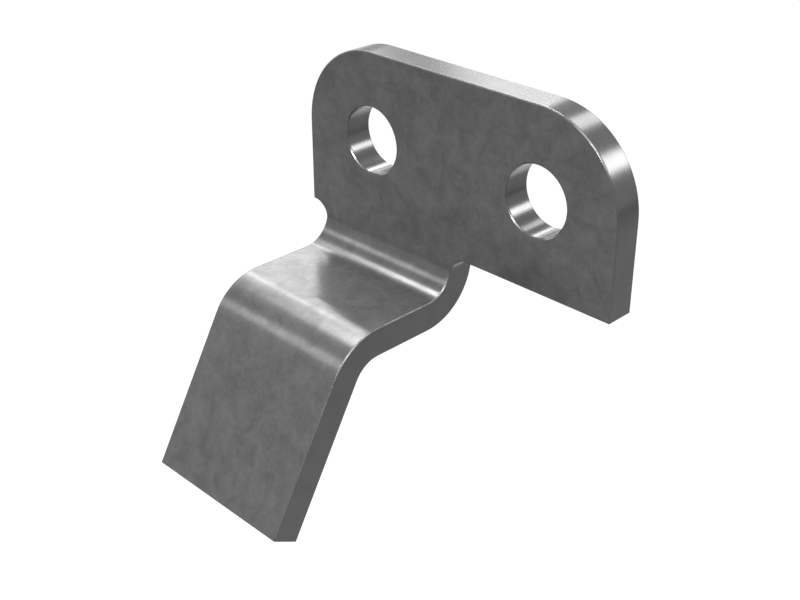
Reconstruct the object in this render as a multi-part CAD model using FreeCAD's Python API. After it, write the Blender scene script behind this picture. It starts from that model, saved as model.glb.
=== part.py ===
"""Mounting bracket for an instrument panel, folded from one piece of steel sheet.

Millimetres. Seen from the front, +X is to the right, +Z is up and +Y goes away from the
viewer, into the surface that the bracket is bolted to. The origin is midway between the
two bolt holes, on the back face of the mounting plate.

The plate stands upright. Its tab folds forward into a short shelf, and the shelf folds
down again into a sloping leg that carries the panel.
"""

import FreeCAD, Part
import math
import os

from FreeCAD import Rotation, Vector

# Sheet, with the burr taken off every cut edge
sheet_thickness = 4.0
bend_inner_radius = 4.0
edge_break = 0.15

# Mounting plate
plate_width = 50.5
plate_height = 23.3
plate_corner_radius = 11.65

# Holes for M8 bolts, concentric with the plate's rounded corners
bolt_hole_diameter = 9.0

# Tab, placed from the plate's left edge, with a rounded relief in both inside corners
tab_inset = 2.65
tab_width = 23.3
relief_radius = 2.3

# Folds, with each length measured along the flat of the sheet
first_bend_drop = 1.1
shelf_length = 8.85
leg_length = 21.6
shelf_bend_angle = 90.0
leg_bend_angle = 60.0

# Cutting shapes reach this far past the sheet
cutting_margin = 1.0

# Faces that meet at less than this are the flats and curves of one bend
tangent_angle = math.radians(10)

# Places worked out from the sizes
plate_left = -plate_width / 2
plate_right = plate_width / 2
plate_top = plate_corner_radius
plate_bottom = plate_top - plate_height
plate_front = -sheet_thickness
hole_offset = plate_width / 2 - plate_corner_radius
tab_left = plate_left + tab_inset
tab_right = tab_left + tab_width


def turned(vector, degrees):
    """The vector turned about +X."""
    return Rotation(Vector(1, 0, 0), degrees).multVec(vector)


def through_sheet(direction):
    """Unit vector from the front face to the back face, where the sheet runs along direction."""
    return turned(direction, 90)


def line(start, end):
    return Part.LineSegment(start, end).toShape()


def bend_arc(centre, start, degrees):
    """Arc about +X that begins at start."""
    arm = start - centre
    middle = centre + turned(arm, degrees / 2)
    end = centre + turned(arm, degrees)
    return Part.Arc(start, middle, end).toShape()


def sheet_section():
    """Side profile of the folded sheet, followed down its front face from the plate's top."""
    runs_and_turns = [
        (plate_height + first_bend_drop, -shelf_bend_angle),
        (shelf_length, leg_bend_angle),
        (leg_length, 0),
    ]
    top = Vector(plate_left, plate_front, plate_top)
    direction = Vector(0, 0, -1)
    across = through_sheet(direction) * sheet_thickness
    front = []
    back = []
    top_end = line(top, top + across)
    place = top
    for run, turn in runs_and_turns:
        bend_start = place + direction * run
        front.append(line(place, bend_start))
        back.append(line(place + across, bend_start + across))
        place = bend_start
        if turn:
            # A forward fold turns about a line before the front face, a backward one behind the sheet
            reach = -bend_inner_radius if turn < 0 else sheet_thickness + bend_inner_radius
            centre = bend_start + through_sheet(direction) * reach
            front.append(bend_arc(centre, bend_start, turn))
            back.append(bend_arc(centre, bend_start + across, turn))
            place = centre + turned(bend_start - centre, turn)
            direction = turned(direction, turn)
            across = turned(across, turn)
    leg_end = line(place, place + across)
    return Part.Face(Part.Wire(front + [leg_end] + back[::-1] + [top_end]))


def folded_sheet():
    """The folded sheet, as wide as the plate all the way down."""
    return sheet_section().extrude(Vector(plate_width, 0, 0))


def cutting_depth(sheet):
    """Where a shape that passes through the whole sheet starts along Y, and its length."""
    box = sheet.BoundBox
    return box.YMin - cutting_margin, box.YLength + 2 * cutting_margin


def cutting_block(sheet, left, right, bottom, top):
    """Block over a rectangle of the front view, through the whole sheet."""
    start, length = cutting_depth(sheet)
    return Part.makeBox(right - left, length, top - bottom, Vector(left, start, bottom))


def cutting_cylinder(sheet, radius, x, z):
    """Cylinder over a circle of the front view, through the whole sheet."""
    start, length = cutting_depth(sheet)
    return Part.makeCylinder(radius, length, Vector(x, start, z), Vector(0, 1, 0))


def plate_outline(sheet):
    """Plate with two rounded upper corners, centred on the bolt holes."""
    below_corners = cutting_block(sheet, plate_left, plate_right, plate_bottom, 0)
    between_corners = cutting_block(sheet, -hole_offset, hole_offset, plate_bottom, plate_top)
    corners = [cutting_cylinder(sheet, plate_corner_radius, side * hole_offset, 0) for side in (-1, 1)]
    return below_corners.multiFuse([between_corners] + corners)


def relief_web(sheet, tab_edge, side):
    """What the rounded relief leaves in the inside corner between the plate and the tab's edge."""
    far_edge = tab_edge + side * relief_radius
    web_bottom = plate_bottom - relief_radius
    web = cutting_block(sheet, min(tab_edge, far_edge), max(tab_edge, far_edge), web_bottom, plate_bottom)
    return web.cut(cutting_cylinder(sheet, relief_radius, far_edge, web_bottom))


def blank_outline(sheet):
    """Everything inside the bracket's outline in the front view."""
    tab_end = sheet.BoundBox.ZMin - cutting_margin
    tab = cutting_block(sheet, tab_left, tab_right, tab_end, plate_bottom)
    webs = [relief_web(sheet, tab_left, -1), relief_web(sheet, tab_right, 1)]
    return plate_outline(sheet).multiFuse([tab] + webs)


def bolt_hole(side):
    """Drill for the bolt hole on one side, through the plate alone."""
    start = Vector(side * hole_offset, plate_front - cutting_margin, 0)
    length = sheet_thickness + 2 * cutting_margin
    return Part.makeCylinder(bolt_hole_diameter / 2, length, start, Vector(0, 1, 0))


def normal_at(face, point):
    u, v = face.Surface.parameter(point)
    return face.normalAt(u, v)


def cut_edges(solid):
    """The edges left by cutting, without the tangent lines of the bends."""
    found = []
    for edge in solid.Edges:
        faces = solid.ancestorsOfType(edge, Part.Face)
        first, last = edge.ParameterRange
        point = edge.valueAt((first + last) / 2)
        normals = [normal_at(face, point) for face in faces]
        if normals[0].getAngle(normals[-1]) > tangent_angle:
            found.append(edge)
    return found


def mounting_bracket():
    sheet = folded_sheet()
    cut_sheet = sheet.common(blank_outline(sheet)).cut([bolt_hole(-1), bolt_hole(1)])
    solid = cut_sheet.removeSplitter().Solids[0]
    return solid.makeChamfer(edge_break, cut_edges(solid))


os.makedirs("parts", exist_ok=True)
mounting_bracket().exportStep("parts/mounting_bracket.step")
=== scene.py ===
import math

import bmesh
import bpy
from bpy.props import FloatProperty, FloatVectorProperty, PointerProperty
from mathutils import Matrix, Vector


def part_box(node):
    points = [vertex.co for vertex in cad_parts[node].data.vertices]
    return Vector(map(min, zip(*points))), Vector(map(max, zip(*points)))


bl_info = {
    "name": "Folded Mounting Bracket",
    "version": (1, 0, 0),
    "blender": (4, 5, 0),
    "location": "3D View > Sidebar > Bracket",
    "description": "Finishes the folded steel mounting bracket and stages it in a small studio",
    "category": "Object",
}

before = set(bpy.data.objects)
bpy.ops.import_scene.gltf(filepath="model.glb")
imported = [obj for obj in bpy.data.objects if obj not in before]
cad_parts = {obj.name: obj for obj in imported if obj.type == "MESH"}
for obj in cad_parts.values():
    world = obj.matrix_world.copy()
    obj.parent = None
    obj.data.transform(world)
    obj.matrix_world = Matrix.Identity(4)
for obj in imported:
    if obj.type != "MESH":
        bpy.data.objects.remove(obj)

BRACKET = "mounting_bracket"

MILLIMETRE = 0.001
MICROMETRE = 0.000001
WHITE = (1.0, 1.0, 1.0)

# Heights that divide the bracket: below the plate, at the tab's head, above the leg's end
PLATE_FOOT = -12.2 * MILLIMETRE
TAB_HEAD = -13.9 * MILLIMETRE
LEG_END = -38.5 * MILLIMETRE

# Marks on the steel
FINE_PER_PATCH = 4.5
FINE_SHARE = 0.28
# Chips break up the rubbed edges and their painted highlight; the chipped share keeps part of it
CHIPS_PER_METRE = 900.0
CHIPPED_SHINE = 0.5
EDGE_SAMPLES = 4
CUT_CONTRAST = 0.04
CUT_POLISH = 0.02
RUBBED_POLISH = 0.03
ROUGHNESS_SPREAD = 0.004
GRAIN_ROUGHNESS = 0.003

# Fades: the value where a mask starts, then the value where it is full
PATCH_FADE = (0.36, 0.64)
NOISE_FADE = (0.3, 0.7)
CHIP_FADE = (0.35, 0.6)
SLOPE_FADE_IN = (0.35, 0.5)
SLOPE_FADE_OUT = (0.92, 0.8)
ROUND_CORNER_FADE = (0.2, 0.4)
UPWARD_FADE = (0.35, 0.55)
SIDEWAYS_FADE = (0.4, 0.6)
OUTLINE_FADE = (0.6, 0.4)
LEG_END_FADE = (-0.7, -0.8)

# The set
FLOOR_RADIUS = 3.0
FLOOR_SEGMENTS = 96
PAPER_GAP = 0.001
PAPER_ROUGHNESS = 0.9
PAPER_PATCH = 0.05
PAPER_CONTRAST = 0.04
SWEEP_NEAR = 0.22
SWEEP_FAR = 0.75
SWEEP_BEND = 0.2
SWEEP_TOP = 0.44
SWEEP_HALF_WIDTH = 0.4
SWEEP_STEPS = 12
SWEEP_GLOW = 0.89

# The camera
PICTURE_CENTRE = Vector((-8.35, -4.0, -21.25)) * MILLIMETRE
SENSOR_WIDTH = 36.0
CLIP_START = 0.01
CLIP_END = 10.0


# Sizes and colours that a user would change

class SteelSettings(bpy.types.PropertyGroup):
    """The finish of the rolled steel sheet."""

    colour: FloatVectorProperty(
        name="Colour", description="The steel under its thin oxide film",
        default=(0.18, 0.18, 0.182), size=3, min=0.0, max=1.0, subtype="COLOR")
    sheared_colour: FloatVectorProperty(
        name="Sheared colour", description="The steel on the cut faces",
        default=(0.183, 0.183, 0.185), size=3, min=0.0, max=1.0, subtype="COLOR")
    # Pale colour of the upward-facing edges: rubbed steel, and also a painted highlight where the
    # overhead light falls on them
    rubbed_colour: FloatVectorProperty(
        name="Rubbed and highlight colour", description="Rubbed steel and a painted highlight on the upward-facing edges",
        default=(0.7, 0.7, 0.7), size=3, min=0.0, max=1.0, subtype="COLOR")
    bare_metal: FloatProperty(
        name="Bare metal", description="How much of the rolled faces shines as clean metal",
        default=0.64, min=0.0, max=1.0, subtype="FACTOR")
    sheared_metal: FloatProperty(
        name="Sheared metal", description="How much of the cut faces shines as clean metal",
        default=0.77, min=0.0, max=1.0, subtype="FACTOR")
    roughness: FloatProperty(
        name="Roughness", description="How soft the sheet's reflections are",
        default=0.23, min=0.0, max=1.0, subtype="FACTOR")
    patch_size: FloatProperty(
        name="Patch size", description="Width of the cloudy patches in the oxide film",
        default=2.6 * MILLIMETRE, min=0.0, unit="LENGTH")
    patch_contrast: FloatProperty(
        name="Patch contrast", description="How far the patches lighten and darken the steel",
        default=0.16, min=0.0, max=1.0, subtype="FACTOR")
    wave_depth: FloatProperty(
        name="Wave depth", description="Height of the sheet's slow waves under the patches",
        default=0.15 * MICROMETRE, min=0.0, unit="LENGTH")
    grain_width: FloatProperty(
        name="Grain width", description="Width of one streak left by the rolling mill",
        default=0.35 * MILLIMETRE, min=0.0, unit="LENGTH")
    grain_length: FloatProperty(
        name="Grain length", description="Length of one streak along the sheet",
        default=2.2 * MILLIMETRE, min=0.0, unit="LENGTH")
    grain_contrast: FloatProperty(
        name="Grain contrast", description="How far the streaks lighten and darken the steel",
        default=0.032, min=0.0, max=1.0, subtype="FACTOR")
    grain_depth: FloatProperty(
        name="Grain depth", description="Depth of the rolling streaks",
        default=0.06 * MICROMETRE, min=0.0, unit="LENGTH")
    edge_rounding: FloatProperty(
        name="Edge rounding", description="Radius over which the light softens the edges",
        default=0.2 * MILLIMETRE, min=0.0, unit="LENGTH")


class StudioSettings(bpy.types.PropertyGroup):
    """The floor, the lamps and the camera."""

    floor_drop: FloatProperty(
        name="Floor drop", description="Gap between the bracket's lowest edge and the floor",
        default=0.4, min=0.0, unit="LENGTH")
    floor_colour: FloatVectorProperty(
        name="Floor colour", description="Pale grey of the studio floor",
        default=(0.34, 0.34, 0.34), size=3, min=0.0, max=1.0, subtype="COLOR")
    paper_colour: FloatVectorProperty(
        name="Paper colour", description="The sweep's own colour under its white glow",
        default=(0.15, 0.15, 0.15), size=3, min=0.0, max=1.0, subtype="COLOR")
    room_light: FloatProperty(
        name="Room light", description="Brightness of the plain room round the set",
        default=0.5, min=0.0, max=2.0)
    lamp_distance: FloatProperty(
        name="Lamp distance", description="Distance from the bracket to each soft lamp",
        default=1.5, min=0.1, unit="LENGTH")
    camera_azimuth: FloatProperty(
        name="Camera azimuth", description="Turn of the camera round the bracket",
        default=math.radians(45.04), subtype="ANGLE")
    camera_elevation: FloatProperty(
        name="Camera elevation", description="Height of the camera over the horizon",
        default=math.radians(28.47), subtype="ANGLE")
    camera_distance: FloatProperty(
        name="Camera distance", description="Distance from the camera to the middle of the picture",
        default=168.4 * MILLIMETRE, min=0.01, unit="LENGTH")
    camera_lens: FloatProperty(
        name="Lens", description="Focal length of the lens in millimetres",
        default=56.68, min=1.0)


# Node helpers

def add_node(tree, kind, inputs=None, **settings):
    """Adds one node, sets its options, and links or sets its inputs."""
    node = tree.nodes.new(kind)
    for option, value in settings.items():
        setattr(node, option, value)
    for key, value in (inputs or {}).items():
        if isinstance(value, bpy.types.NodeSocket):
            tree.links.new(value, node.inputs[key])
        else:
            node.inputs[key].default_value = value
    return node


def calculate(tree, operation, first, second=0.0):
    """A Math node's output."""
    return add_node(tree, "ShaderNodeMath", {0: first, 1: second}, operation=operation).outputs[0]


def remap(tree, value, low, high, new_low, new_high):
    """Carries a value from one range to another and stops at its ends."""
    return add_node(
        tree, "ShaderNodeMapRange",
        {"Value": value, "From Min": low, "From Max": high, "To Min": new_low, "To Max": new_high},
    ).outputs["Result"]


def mask(tree, value, fade):
    """0 at the fade's first value, 1 at its second, and steady beyond them."""
    return remap(tree, value, fade[0], fade[1], 0.0, 1.0)


def object_place(tree):
    """Where a point lies in the object's own frame."""
    return tree.nodes.new("ShaderNodeTexCoord").outputs["Object"]


def parts(tree, vector):
    """A vector's X, Y and Z."""
    return add_node(tree, "ShaderNodeSeparateXYZ", {0: vector}).outputs


def facing(tree):
    """X, Y and Z of the direction that a face looks in."""
    return parts(tree, tree.nodes.new("ShaderNodeTexCoord").outputs["Normal"])


def noise(tree, place, scale, detail=0.0, roughness=0.5, distortion=0.0):
    """A Noise Texture's value."""
    return add_node(
        tree, "ShaderNodeTexNoise",
        {"Vector": place, "Scale": scale, "Detail": detail, "Roughness": roughness,
         "Distortion": distortion}).outputs["Fac"]


def mix_colour(tree, factor, low, high, blend_type="MIX"):
    """Blends two colours by a factor."""
    return add_node(
        tree, "ShaderNodeMix", {0: factor, 6: low, 7: high}, data_type="RGBA",
        blend_type=blend_type).outputs[2]


def shaded(colour, factor=1.0):
    """A colour darkened or lightened by a factor, with full alpha."""
    return tuple(part * factor for part in colour) + (1.0,)


def varied(tree, marks, colour, contrast):
    """A colour that marks darken and lighten by the same contrast."""
    return mix_colour(tree, marks, shaded(colour, 1 - contrast), shaded(colour, 1 + contrast))


def new_group(name, inputs, outputs, normals=()):
    """An empty shader node group with named float inputs, float outputs and normal outputs."""
    tree = bpy.data.node_groups.new(name, "ShaderNodeTree")
    for label, default in inputs:
        socket = tree.interface.new_socket(label, in_out="INPUT", socket_type="NodeSocketFloat")
        socket.default_value = default
    for label in outputs:
        tree.interface.new_socket(label, in_out="OUTPUT", socket_type="NodeSocketFloat")
    for label in normals:
        tree.interface.new_socket(label, in_out="OUTPUT", socket_type="NodeSocketVector")
    return tree, tree.nodes.new("NodeGroupInput"), tree.nodes.new("NodeGroupOutput")


def place_group(tree, build, **values):
    """Puts a group into a material, with its own values, and builds it the first time."""
    node = tree.nodes.new("ShaderNodeGroup")
    node.node_tree = bpy.data.node_groups.get(build.__name__) or build()
    for label, value in values.items():
        node.inputs[label.replace("_", " ").capitalize()].default_value = value
    return node.outputs


# Effects

def cloudy_patches():
    """Patches at two scales and soft clouds, as in an oxide film or in felted paper."""
    tree, given, result = new_group(
        "cloudy_patches", [("Patch size", 4.0 * MILLIMETRE)], ["Patches", "Clouds"])
    place = object_place(tree)
    density = calculate(tree, "DIVIDE", 1.0, given.outputs["Patch size"])
    fine_density = calculate(tree, "MULTIPLY", density, FINE_PER_PATCH)
    broad = noise(tree, place, density, detail=3.0, roughness=0.6, distortion=0.6)
    fine = noise(tree, place, fine_density, detail=2.0, roughness=0.6)
    both = calculate(
        tree, "ADD", calculate(tree, "MULTIPLY", broad, 1 - FINE_SHARE),
        calculate(tree, "MULTIPLY", fine, FINE_SHARE))
    clouds = noise(tree, place, density)
    tree.links.new(mask(tree, both, PATCH_FADE), result.inputs["Patches"])
    tree.links.new(mask(tree, clouds, NOISE_FADE), result.inputs["Clouds"])
    return tree


def rolling_grain():
    """Fine streaks along the sheet: narrow across X, long down the folds."""
    tree, given, result = new_group(
        "rolling_grain", [("Width", 0.3 * MILLIMETRE), ("Length", 2.0 * MILLIMETRE)], ["Streaks"])
    across = calculate(tree, "DIVIDE", 1.0, given.outputs["Width"])
    along = calculate(tree, "DIVIDE", 1.0, given.outputs["Length"])
    density = add_node(tree, "ShaderNodeCombineXYZ", {"X": across, "Y": along, "Z": along})
    stretched = add_node(
        tree, "ShaderNodeVectorMath", {0: object_place(tree), 1: density.outputs["Vector"]},
        operation="MULTIPLY").outputs["Vector"]
    streaks = noise(tree, stretched, 1.0, detail=4.0, roughness=0.65)
    tree.links.new(mask(tree, streaks, NOISE_FADE), result.inputs["Streaks"])
    return tree


def slope(tree, part):
    """1 where a normal's part shows the slope of a broken edge, 0 on the faces beside it."""
    size = calculate(tree, "ABSOLUTE", part)
    return calculate(
        tree, "MULTIPLY", mask(tree, size, SLOPE_FADE_IN), mask(tree, size, SLOPE_FADE_OUT))


def edge_wear_and_highlight():
    """Rounded edges, and on the upward-facing ones rubbed steel with a painted highlight, broken up into
    small chips.
    """
    tree, given, result = new_group(
        "edge_wear_and_highlight", [("Rounding", 0.3 * MILLIMETRE)], ["Wear"], ["Normal"])
    rounded = add_node(
        tree, "ShaderNodeBevel", {"Radius": given.outputs["Rounding"]}, samples=EDGE_SAMPLES)
    tree.links.new(rounded.outputs["Normal"], result.inputs["Normal"])

    place = object_place(tree)
    height = parts(tree, place)["Z"]
    look = facing(tree)
    corner = mask(tree, calculate(tree, "ABSOLUTE", look["X"]), ROUND_CORNER_FADE)
    plate_edge = calculate(
        tree, "MULTIPLY", calculate(tree, "MULTIPLY", slope(tree, look["Y"]), corner),
        calculate(tree, "GREATER_THAN", height, PLATE_FOOT))
    tab_edge = calculate(
        tree, "MULTIPLY", slope(tree, look["X"]),
        calculate(tree, "LESS_THAN", height, TAB_HEAD))
    # Only edges that face up keep the mask: rubbed steel, and a painted highlight where the overhead
    # light falls
    upper = calculate(
        tree, "MULTIPLY", calculate(tree, "MAXIMUM", plate_edge, tab_edge),
        mask(tree, look["Z"], UPWARD_FADE))
    chips = noise(tree, place, CHIPS_PER_METRE, detail=3.0)
    unbroken = remap(tree, chips, CHIP_FADE[0], CHIP_FADE[1], CHIPPED_SHINE, 1.0)
    tree.links.new(calculate(tree, "MULTIPLY", upper, unbroken), result.inputs["Wear"])
    return tree


# Materials

def new_material(name):
    """A node material with only its Principled BSDF and output."""
    material = bpy.data.materials.new(name)
    material.use_nodes = True
    tree = material.node_tree
    return material, tree, tree.nodes["Principled BSDF"].inputs


def cut_faces(tree):
    """1 on the sheet's sheared faces: its sides, the plate's outline and holes, the leg's end."""
    height = parts(tree, object_place(tree))["Z"]
    look = facing(tree)
    sides = mask(tree, calculate(tree, "ABSOLUTE", look["X"]), SIDEWAYS_FADE)
    outline = calculate(
        tree, "MULTIPLY", mask(tree, calculate(tree, "ABSOLUTE", look["Y"]), OUTLINE_FADE),
        calculate(tree, "GREATER_THAN", height, PLATE_FOOT))
    end = calculate(
        tree, "MULTIPLY", mask(tree, look["Z"], LEG_END_FADE),
        calculate(tree, "LESS_THAN", height, LEG_END))
    return calculate(tree, "MAXIMUM", calculate(tree, "MAXIMUM", sides, outline), end)


def relief(tree, marks, depth, normal):
    """A normal with the marks raised on it."""
    return add_node(
        tree, "ShaderNodeBump",
        {"Height": marks, "Distance": depth, "Strength": 1.0, "Normal": normal},
    ).outputs["Normal"]


def rolled_steel(steel):
    """Satin steel sheet: a cloudy, finely streaked film, plainer cut faces, and rubbed edges with a
    painted highlight where they face up.
    """
    material, tree, surface = new_material("rolled_steel")
    film_marks = place_group(tree, cloudy_patches, patch_size=steel.patch_size)
    grain = place_group(
        tree, rolling_grain, width=steel.grain_width, length=steel.grain_length)
    edges = place_group(tree, edge_wear_and_highlight, rounding=steel.edge_rounding)
    patches = film_marks["Patches"]
    streaks = grain["Streaks"]
    wear_and_highlight = edges["Wear"]
    cut = cut_faces(tree)
    rolled = calculate(tree, "SUBTRACT", 1.0, cut)

    film = mix_colour(
        tree, 1.0, varied(tree, patches, steel.colour, steel.patch_contrast),
        varied(tree, streaks, WHITE, steel.grain_contrast), blend_type="MULTIPLY")
    sheared = varied(tree, film_marks["Clouds"], steel.sheared_colour, CUT_CONTRAST)
    sheet = mix_colour(tree, cut, film, sheared)
    # The upward-facing edges take the pale colour: rubbed steel and a painted highlight
    tree.links.new(
        mix_colour(tree, wear_and_highlight, sheet, shaded(steel.rubbed_colour)), surface["Base Color"])
    tree.links.new(
        remap(tree, cut, 0.0, 1.0, steel.bare_metal, steel.sheared_metal), surface["Metallic"])

    uneven = calculate(
        tree, "MULTIPLY", rolled,
        calculate(
            tree, "ADD",
            remap(tree, patches, 0.0, 1.0, ROUGHNESS_SPREAD, -ROUGHNESS_SPREAD),
            remap(tree, streaks, 0.0, 1.0, GRAIN_ROUGHNESS, -GRAIN_ROUGHNESS)))
    polish = calculate(
        tree, "ADD", calculate(tree, "MULTIPLY", wear_and_highlight, RUBBED_POLISH),
        calculate(tree, "MULTIPLY", cut, CUT_POLISH))
    tree.links.new(
        calculate(tree, "SUBTRACT", calculate(tree, "ADD", uneven, steel.roughness), polish),
        surface["Roughness"])

    waves = relief(
        tree, calculate(tree, "MULTIPLY", patches, rolled), steel.wave_depth, edges["Normal"])
    grooves = relief(
        tree, calculate(tree, "MULTIPLY", streaks, rolled), steel.grain_depth, waves)
    tree.links.new(grooves, surface["Normal"])
    return material


def seen_white(tree):
    """1 for the rays that show the set's white: camera, reflection and glass."""
    path = tree.nodes.new("ShaderNodeLightPath").outputs
    seen = calculate(tree, "MAXIMUM", path["Is Camera Ray"], path["Is Glossy Ray"])
    return calculate(tree, "MAXIMUM", seen, path["Is Transmission Ray"])


def studio_paper(name, colour, glow):
    """Felted matt paper. Its glow lifts it to white where it is seen, and lights nothing."""
    material, tree, surface = new_material(name)
    surface["Roughness"].default_value = PAPER_ROUGHNESS
    fibres = place_group(tree, cloudy_patches, patch_size=PAPER_PATCH)["Patches"]
    tree.links.new(
        mix_colour(tree, fibres, shaded(colour, 1 - PAPER_CONTRAST), shaded(colour)),
        surface["Base Color"])
    if glow:
        surface["Emission Color"].default_value = shaded(WHITE)
        tree.links.new(
            calculate(tree, "MULTIPLY", seen_white(tree), glow), surface["Emission Strength"])
    return material


# Stage pieces

def direction(azimuth, elevation):
    """Unit vector: azimuth turns from +Y towards +X, elevation rises from the horizon."""
    level = math.cos(elevation)
    return Vector((math.sin(azimuth) * level, math.cos(azimuth) * level, math.sin(elevation)))


def toward_camera(studio, elevation):
    """Unit vector from the bracket on the camera's side of it, at an elevation."""
    return direction(math.pi - studio.camera_azimuth, elevation)


def link_new(name, data):
    """A new object in the scene."""
    made = bpy.data.objects.new(name, data)
    bpy.context.scene.collection.objects.link(made)
    return made


def finish_mesh(name, shape, material):
    """Turns a bmesh into an object with one material."""
    mesh = bpy.data.meshes.new(name)
    shape.to_mesh(mesh)
    shape.free()
    mesh.materials.append(material)
    return link_new(name, mesh)


def lay_floor(height, studio):
    """A round pale floor."""
    shape = bmesh.new()
    bmesh.ops.create_circle(
        shape, cap_ends=True, segments=FLOOR_SEGMENTS, radius=FLOOR_RADIUS)
    floor = finish_mesh(
        "studio_floor", shape, studio_paper("floor_paper", studio.floor_colour, 0.0))
    floor.location = (0.0, 0.0, height)


def hang_sweep(height, studio):
    """A white paper sweep behind the bracket, as the camera sees it: flat, then curving up."""
    away = -toward_camera(studio, 0.0)
    aside = Vector((away.y, -away.x, 0.0))
    profile = [(SWEEP_NEAR, 0.0), (SWEEP_FAR - SWEEP_BEND, 0.0)]
    for step in range(1, SWEEP_STEPS + 1):
        turn = math.pi / 2 * step / SWEEP_STEPS
        profile.append((
            SWEEP_FAR - SWEEP_BEND + SWEEP_BEND * math.sin(turn),
            SWEEP_BEND - SWEEP_BEND * math.cos(turn)))
    profile.append((SWEEP_FAR, SWEEP_TOP))
    shape = bmesh.new()
    rows = []
    for reach, rise in profile:
        middle = away * reach + Vector((0.0, 0.0, height + PAPER_GAP + rise))
        rows.append([shape.verts.new(middle + aside * side * SWEEP_HALF_WIDTH) for side in (-1, 1)])
    for near, far in zip(rows, rows[1:]):
        shape.faces.new((near[0], near[1], far[1], far[0])).smooth = True
    sweep = finish_mesh(
        "paper_sweep", shape, studio_paper("sweep_paper", studio.paper_colour, SWEEP_GLOW))


def hang_lamp(name, distance, turn, rise, width, height, brightness):
    """A rectangular soft lamp that faces the picture's middle: turn and rise are in degrees."""
    lamp = bpy.data.lights.new(name, "AREA")
    lamp.shape = "RECTANGLE"
    lamp.size = width
    lamp.size_y = height
    lamp.energy = brightness * width * height * math.pi
    toward = direction(math.radians(turn), math.radians(rise))
    holder = link_new(name, lamp)
    holder.location = PICTURE_CENTRE + toward * distance
    holder.rotation_mode = "QUATERNION"
    holder.rotation_quaternion = toward.to_track_quat("Z", "Y")


def hang_lamps(distance):
    """The soft lamps, each placed by its own reflection in the steel."""
    hang_lamp("overhead_left", distance, turn=-84.4, rise=65.0, width=0.64, height=0.69, brightness=13.0)
    hang_lamp("rear_left_strip", distance, turn=-38.3, rise=38.0, width=0.16, height=0.72, brightness=7.5)
    hang_lamp("rear_strip", distance, turn=-6.9, rise=39.3, width=0.32, height=0.32, brightness=4.6)
    hang_lamp("rear_right_bar", distance, turn=38.6, rise=25.6, width=0.61, height=0.33, brightness=6.9)
    hang_lamp("left_small", distance, turn=-134.9, rise=28.9, width=0.49, height=0.29, brightness=2.3)
    hang_lamp("left_panel", distance, turn=-61.3, rise=31.7, width=0.77, height=0.7, brightness=3.1)
    hang_lamp("low_rear_left", distance, turn=-38.3, rise=13.6, width=0.2, height=0.5, brightness=1.7)
    hang_lamp("bend_strip", distance, turn=-66.2, rise=42.0, width=0.11, height=0.26, brightness=4.6)
    hang_lamp("camera_left", distance, turn=156.9, rise=28.0, width=0.31, height=0.55, brightness=18.0)
    hang_lamp("camera_right", distance, turn=94.0, rise=33.0, width=1.3, height=0.16, brightness=3.4)


def light_room(brightness):
    """A plain, even room."""
    world = bpy.data.worlds.new("plain_room")
    world.use_nodes = True
    background = world.node_tree.nodes["Background"]
    background.inputs["Color"].default_value = shaded(WHITE)
    background.inputs["Strength"].default_value = brightness
    bpy.context.scene.world = world


def place_camera(studio):
    """The camera, at the photograph's viewing angle."""
    back = toward_camera(studio, studio.camera_elevation)
    lens = bpy.data.cameras.new("camera")
    lens.lens = studio.camera_lens
    lens.sensor_width = SENSOR_WIDTH
    lens.clip_start = CLIP_START
    lens.clip_end = CLIP_END
    camera = link_new("camera", lens)
    camera.location = PICTURE_CENTRE + back * studio.camera_distance
    camera.rotation_mode = "QUATERNION"
    camera.rotation_quaternion = back.to_track_quat("Z", "Y")
    bpy.context.scene.camera = camera


# Operators and panel

class BRACKET_OT_finish_sheet(bpy.types.Operator):
    """Give the bracket its rolled steel finish"""

    bl_idname = "bracket.finish_sheet"
    bl_label = "Finish the steel sheet"

    def execute(self, context):
        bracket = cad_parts[BRACKET]
        steel = rolled_steel(context.scene.bracket_steel)
        for slot in bracket.material_slots:
            slot.material = steel
        return {"FINISHED"}


class BRACKET_OT_build_studio(bpy.types.Operator):
    """Lay the floor and the paper sweep, hang the lamps and place the camera"""

    bl_idname = "bracket.build_studio"
    bl_label = "Build the studio"

    def execute(self, context):
        studio = context.scene.bracket_studio
        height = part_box(BRACKET)[0].z - studio.floor_drop
        lay_floor(height, studio)
        hang_sweep(height, studio)
        hang_lamps(studio.lamp_distance)
        light_room(studio.room_light)
        place_camera(studio)
        context.scene.view_settings.view_transform = "Standard"
        return {"FINISHED"}


class BRACKET_PT_sidebar(bpy.types.Panel):
    """The bracket's sizes, colours and steps"""

    bl_label = "Mounting bracket"
    bl_idname = "BRACKET_PT_sidebar"
    bl_space_type = "VIEW_3D"
    bl_region_type = "UI"
    bl_category = "Bracket"

    def draw(self, context):
        for settings in (context.scene.bracket_steel, context.scene.bracket_studio):
            box = self.layout.box()
            for name in settings.__annotations__:
                box.prop(settings, name)
        self.layout.operator(BRACKET_OT_finish_sheet.bl_idname)
        self.layout.operator(BRACKET_OT_build_studio.bl_idname)


CLASSES = (
    SteelSettings,
    StudioSettings,
    BRACKET_OT_finish_sheet,
    BRACKET_OT_build_studio,
    BRACKET_PT_sidebar,
)


def register():
    for kind in CLASSES:
        bpy.utils.register_class(kind)
    bpy.types.Scene.bracket_steel = PointerProperty(type=SteelSettings)
    bpy.types.Scene.bracket_studio = PointerProperty(type=StudioSettings)


def unregister():
    del bpy.types.Scene.bracket_studio
    del bpy.types.Scene.bracket_steel
    for kind in reversed(CLASSES):
        bpy.utils.unregister_class(kind)


def main():
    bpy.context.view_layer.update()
    register()
    bpy.ops.bracket.finish_sheet()
    bpy.ops.bracket.build_studio()


if __name__ == "__main__":
    main()
